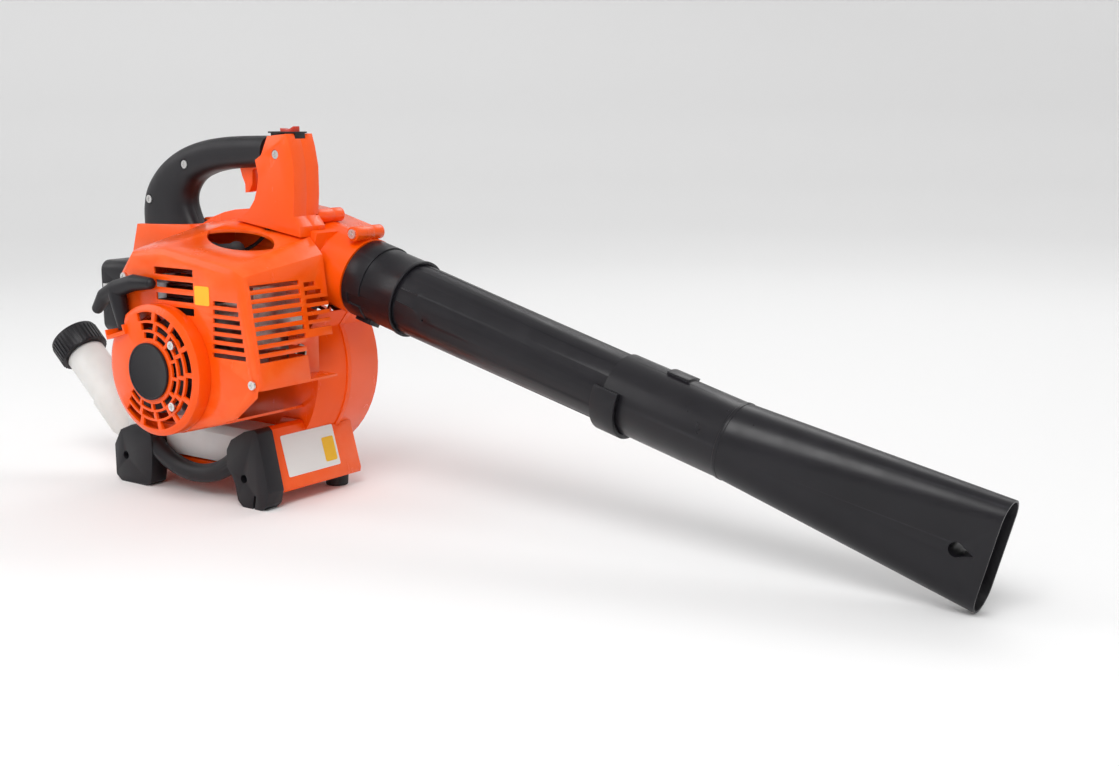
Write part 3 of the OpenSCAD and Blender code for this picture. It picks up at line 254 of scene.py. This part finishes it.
def braided(name, colour):
    material, shader = new_material(name, colour, 0.8)
    weave = node(material, "TexWave", Scale=420.0, Distortion=1.5, Detail=2.0, bands_direction="DIAGONAL")
    place = node(material, "TexCoord")
    join(material, place.outputs["Object"], weave.inputs["Vector"])
    # Painted shade: the colour darkens towards the low grooves of the weave, where shade would fall between
    # the strands
    painted_hollow_shade = tuple(c * 0.55 for c in colour)
    tone = mixed_colour(material, weave.outputs["Fac"], painted_hollow_shade, colour)
    join(material, tone, shader.inputs["Base Color"])
    bump = node(material, "Bump", Strength=0.7, Distance=0.0004)
    join(material, weave.outputs["Fac"], bump.inputs["Height"])
    join(material, bump.outputs["Normal"], shader.inputs["Normal"])
    return material


def foam(name, colour):
    material, shader = new_material(name, colour, 0.95)
    cells = node(material, "TexVoronoi", Scale=900.0)
    place = node(material, "TexCoord")
    join(material, place.outputs["Object"], cells.inputs["Vector"])
    # Painted shade: the colour darkens towards the sunken centre of each cell, where shade would fall in the
    # pores
    painted_hollow_shade = tuple(c * 0.3 for c in colour)
    tone = mixed_colour(material, cells.outputs["Distance"], painted_hollow_shade, colour)
    join(material, tone, shader.inputs["Base Color"])
    bump = node(material, "Bump", Strength=0.9, Distance=0.0006)
    join(material, cells.outputs["Distance"], bump.inputs["Height"])
    join(material, bump.outputs["Normal"], shader.inputs["Normal"])
    return material


ORANGE = (0.98, 0.095, 0.001)
BLACK = (0.012, 0.011, 0.014)
MATERIALS = {
    "orange_plastic": moulded(
        "orange_plastic", ORANGE, 0.24, 900, 0.00005, 0.05, (1.0, 0.16, 0.03), 0.32, 0.12
    ),
    "black_plastic": moulded("black_plastic", BLACK, 0.4, 1400, 0.0001, 0.25, (0.04, 0.04, 0.045), 0.3),
    "tube_plastic": moulded("tube_plastic", BLACK, 0.33, 700, 0.00006, 0.25, (0.035, 0.035, 0.04), 0.3),
    "soft_grip": moulded(
        "soft_grip", (0.014, 0.013, 0.016), 0.42, 2200, 0.00015, 0.2, (0.04, 0.04, 0.044), 0.3
    ),
    "rubber": moulded("rubber", (0.02, 0.02, 0.021), 0.75, 1600, 0.0003, 0.2),
    "bulb_rubber": moulded("bulb_rubber", (0.45, 0.03, 0.02), 0.3, 500, 0.0001),
    "screw_steel": metal("screw_steel", (0.72, 0.71, 0.7), 0.26, 700, 0.00008, (1, 1, 4)),
    "cast_aluminium": metal(
        "cast_aluminium", (0.5, 0.5, 0.52), 0.5, 900, 0.0003, (1, 1, 1), (0.28, 0.28, 0.3)
    ),
    "muffler_steel": metal(
        "muffler_steel", (0.58, 0.56, 0.54), 0.33, 300, 0.0001, (1, 1, 6), (0.3, 0.22, 0.15)
    ),
    "fan_plastic": moulded("fan_plastic", (0.02, 0.02, 0.022), 0.55, 1200, 0.0002, 0.2),
    "coil_black": moulded("coil_black", (0.02, 0.02, 0.022), 0.5, 800, 0.0002, 0.2),
    "plug_ceramic": moulded("plug_ceramic", (0.8, 0.79, 0.76), 0.18, 300, 0.00004, 0.04),
    "milky_plastic": milky("milky_plastic", (0.78, 0.76, 0.73)),
    "fuel_line": moulded("fuel_line", (0.5, 0.36, 0.06), 0.3, 300, 0.0001),
    "filter_foam": foam("filter_foam", (0.09, 0.09, 0.085)),
    "rope_fibre": braided("rope_fibre", (0.75, 0.74, 0.7)),
    "cable_black": moulded("cable_black", (0.015, 0.015, 0.016), 0.5, 900, 0.0001, 0.2),
    "switch_red": moulded("switch_red", (0.6, 0.03, 0.008), 0.3, 700, 0.00008, 0.1),
}


# ---------- mesh helpers ----------


def link(name, mesh):
    obj = bpy.data.objects.new(name, mesh)
    bpy.context.scene.collection.objects.link(obj)
    return obj


def finish_piece(obj, slot_name, body, *nodes):
    """Gives a new piece its finish, its body and the CAD nodes that it replaces."""
    obj.data.materials.clear()
    obj.data.materials.append(MATERIALS[slot_name])
    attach(obj, body)
    if nodes:
        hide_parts(*nodes)
    return obj


def applied(obj):
    """Replaces the object's mesh by the one its modifiers make."""
    depsgraph = bpy.context.evaluated_depsgraph_get()
    made = bpy.data.meshes.new_from_object(obj.evaluated_get(depsgraph))
    obj.modifiers.clear()
    old = obj.data
    obj.data = made
    bpy.data.meshes.remove(old)
    return obj


def smooth(obj, angle=35):
    obj.data.shade_smooth()
    obj.data.set_sharp_from_angle(angle=math.radians(angle))


def bevel(obj, width, segments=3, angle=32):
    made = obj.modifiers.new("edges", "BEVEL")
    made.width = width
    made.segments = segments
    made.limit_method = "ANGLE"
    made.angle_limit = math.radians(angle)
    made.use_clamp_overlap = True
    made.harden_normals = False
    made.miter_outer = "MITER_ARC"


def softened(name, width, segments=2, flat=1.5, angle=32):
    """A copy of a CAD node with its sharp edges rounded."""
    source = NODES[name]
    obj = link(name + "_moulding", source.data.copy())
    work = bmesh.new()
    work.from_mesh(obj.data)
    bmesh.ops.remove_doubles(work, verts=work.verts, dist=0.00002)
    if flat:
        bmesh.ops.dissolve_limit(work, angle_limit=math.radians(flat), verts=work.verts, edges=work.edges)
    work.to_mesh(obj.data)
    work.free()
    for attribute in ("custom_normal", "sharp_edge", "sharp_face"):
        if attribute in obj.data.attributes:
            obj.data.attributes.remove(obj.data.attributes[attribute])
    bevel(obj, width, segments, angle)
    applied(obj)
    smooth(obj, 40)
    return finish_piece(obj, SLOT_OF[name], BODY_OF[name], name)


# ---------- grip ----------

# Outer and inner edge of the grip in the side view, rear foot first, in millimetres
GRIP_OUTER = [(-153, 278.5), (-152, 296), (-146, 315), (-133, 332), (-113, 348), (-87, 361), (-57, 369.5),
              (-26, 374), (10, 376), (48, 376.6)]
GRIP_INNER = [(-68, 279), (-75, 292), (-79, 304), (-76, 316), (-64, 328), (-43, 336), (-18, 340.5),
              (6, 342.5), (24, 343.5), (42, 344)]
GRIP_MIDDLE = -43
GRIP_HALF = 17.6
# Power of the section's sine and cosine: 1 is an ellipse, 0 a rectangle
GRIP_PLUMP = 0.72
# The two mouldings meet in a fine groove
SEAM_GAP = 0.12
SEAM_SHARE = 0.99
GRIP_SCREWS = ((-72, 345), (-132, 306))
POCKET_RADIUS = 5.4
POCKET_DEPTH = 4.4


def curve_point(points, t):
    """A point on the smooth curve through the given ones; t runs from 0 to 1."""
    last = len(points) - 1
    k = min(int(t * last), last - 1)
    f = t * last - k
    a, b, c, d = (points[max(0, min(last, k + i))] for i in (-1, 0, 1, 2))
    return [
        0.5 * (2 * q + (r - p) * f + (2 * p - 5 * q + 4 * r - w) * f * f + (3 * q - p - 3 * r + w) * f ** 3)
        for p, q, r, w in zip(a, b, c, d)
    ]


def rounded_power(value, power):
    return math.copysign(abs(value) ** power, value)


def grip_half(name, side):
    """One moulding of the grip: a plump section swept from the rear foot to the pillar."""
    stations, across = 60, 28
    points, faces = [], []
    for i in range(stations + 1):
        outer = curve_point(GRIP_OUTER, i / stations)
        inner = curve_point(GRIP_INNER, i / stations)
        middle = [(p + q) / 2 for p, q in zip(outer, inner)]
        reach = [(p - q) / 2 for p, q in zip(outer, inner)]
        for k in range(across + 1):
            turn = math.pi * k / across
            high = rounded_power(math.cos(turn), GRIP_PLUMP)
            wide = rounded_power(math.sin(turn), GRIP_PLUMP) * GRIP_HALF
            full = SEAM_SHARE if k in (0, across) else 1
            points.append(at(
                middle[0] + reach[0] * high * full,
                GRIP_MIDDLE + side * (wide + SEAM_GAP),
                middle[1] + reach[1] * high * full,
            ))
    row = across + 1
    for i in range(stations):
        for k in range(row):
            a, b = i * row + k, i * row + (k + 1) % row
            faces.append((a, b, b + row, a + row))
    faces.append(tuple(range(row - 1, -1, -1)))
    faces.append(tuple(stations * row + k for k in range(row)))
    mesh = bpy.data.meshes.new(name)
    mesh.from_pydata([tuple(p) for p in points], [], faces)
    work = bmesh.new()
    work.from_mesh(mesh)
    bmesh.ops.recalc_face_normals(work, faces=work.faces)
    work.to_mesh(mesh)
    work.free()
    obj = link(name, mesh)
    if side < 0:
        for x, z in GRIP_SCREWS:
            recess(obj, at(x, GRIP_MIDDLE - GRIP_HALF, z), POCKET_RADIUS * MM, POCKET_DEPTH * MM)
    smooth(obj, 40)
    return obj


def recess(obj, centre, radius, depth):
    """Sinks a round pocket into a piece, along +Y."""
    cutter = link("cutter", bpy.data.meshes.new("cutter"))
    work = bmesh.new()
    bmesh.ops.create_cone(work, cap_ends=True, segments=40, radius1=radius, radius2=radius, depth=2 * depth)
    work.to_mesh(cutter.data)
    work.free()
    cutter.rotation_euler = (math.pi / 2, 0, 0)
    cutter.location = centre
    made = obj.modifiers.new("pocket", "BOOLEAN")
    made.object = cutter
    made.solver = "EXACT"
    bpy.context.view_layer.update()
    applied(obj)
    bpy.data.objects.remove(cutter)


# ---------- labels, left blank ----------


def label(name, corner, along, up, colour, size, body="root", thick=0.25):
    """A blank stuck-on label with rounded corners, standing just proud of its face."""
    along, up = Vector(along).normalized(), Vector(up).normalized()
    face = along.cross(up)
    width, height = size
    round_r = 2.0
    outline = []
    for cx, cy, start in ((width - round_r, height - round_r, 0), (round_r, height - round_r, 90),
                          (round_r, round_r, 180), (width - round_r, round_r, 270)):
        for step in range(5):
            turn = math.radians(start + step * 22.5)
            outline.append((cx + round_r * math.cos(turn), cy + round_r * math.sin(turn)))
    base = Vector(corner)
    count = len(outline)
    points = []
    for lift in (0.0, thick):
        points += [base + (along * x + up * y + face * lift) * MM for x, y in outline]
    faces = [tuple(range(count - 1, -1, -1)), tuple(range(count, 2 * count))]
    faces += [(i, (i + 1) % count, count + (i + 1) % count, count + i) for i in range(count)]
    mesh = bpy.data.meshes.new(name)
    mesh.from_pydata([tuple(p) for p in points], [], faces)
    obj = link(name, mesh)
    mesh.materials.append(colour)
    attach(obj, body)
    return obj


EDGE = {
    "volute_engine_half": 1.2, "volute_intake_half": 1.2, "engine_cover": 0.5, "starter_housing": 0.8,
    "handle_left": 3.0, "handle_right": 3.0, "grip_seat": 3.0, "base_stand": 2.5,
    "base_handle": 2.5, "filter_cover": 1.5, "tube_clip": 1.0, "throttle_trigger": 1.5, "switch_rocker": 0.6,
    "switch_base": 0.6, "fuel_cap": 0.5, "tube_collar": 0.7, "upper_tube": 0.6, "nozzle": 0.6,
    "starter_badge": 0.6, "intake_guard": 0.8, "pull_handle": 0.8, "muffler": 1.0, "fuel_tank": 0.6,
    "rubber_feet": 0.8, "filter_base": 0.5,
}

# Slotted walls keep their faces unmerged, since one face can't hold many slots
UNMERGED = {"engine_cover": 0}

add_camera()
add_world()
add_stage()
TARGET = at(150, -40, 180)
add_area_light("key", at(900, -1500, 2100), TARGET, (1.3, 1.3), 34)
add_area_light("fill", at(-1700, -1300, 1500), TARGET, (1.6, 1.6), 12)
add_area_light("back", at(200, 2200, 2300), TARGET, (2.0, 1.2), 20)

bpy.context.scene.view_settings.view_transform = "Standard"

for name, cad in NODES.items():
    cad.data.materials.clear()
    cad.data.materials.append(MATERIALS[SLOT_OF[name]])
for name, width in EDGE.items():
    softened(name, width * MM, flat=UNMERGED.get(name, 1.5))
finish_piece(grip_half("grip_left_moulding", -1), "soft_grip", BODY_OF["grip_left"], "grip_left")
finish_piece(grip_half("grip_right_moulding", 1), "soft_grip", BODY_OF["grip_right"], "grip_right")

LABEL_WHITE = moulded("label_white", (0.8, 0.8, 0.78), 0.35, 500, 0.00002, 0.04)
LABEL_YELLOW = moulded("label_yellow", (0.9, 0.5, 0.01), 0.35, 500, 0.00002, 0.04)
# Up the slope of the front leg, from its lower edge to its upper one
LEG_FACE = Vector((82 - 99, 0, 79 - 20)).normalized()
leg_white = at(99.1, -84, 20) + LEG_FACE * 9 * MM
leg_yellow = at(99.4, -28, 20) + LEG_FACE * 15 * MM
label("label_leg", leg_white, (0, 1, 0), LEG_FACE, LABEL_WHITE, (76, 44))
label("label_leg_box", leg_yellow, (0, 1, 0), LEG_FACE, LABEL_YELLOW, (17, 26))
label("label_cover", at(48, -157.1, 213), (1, 0, 0), (0, 0, 1), LABEL_YELLOW, (21, 19))
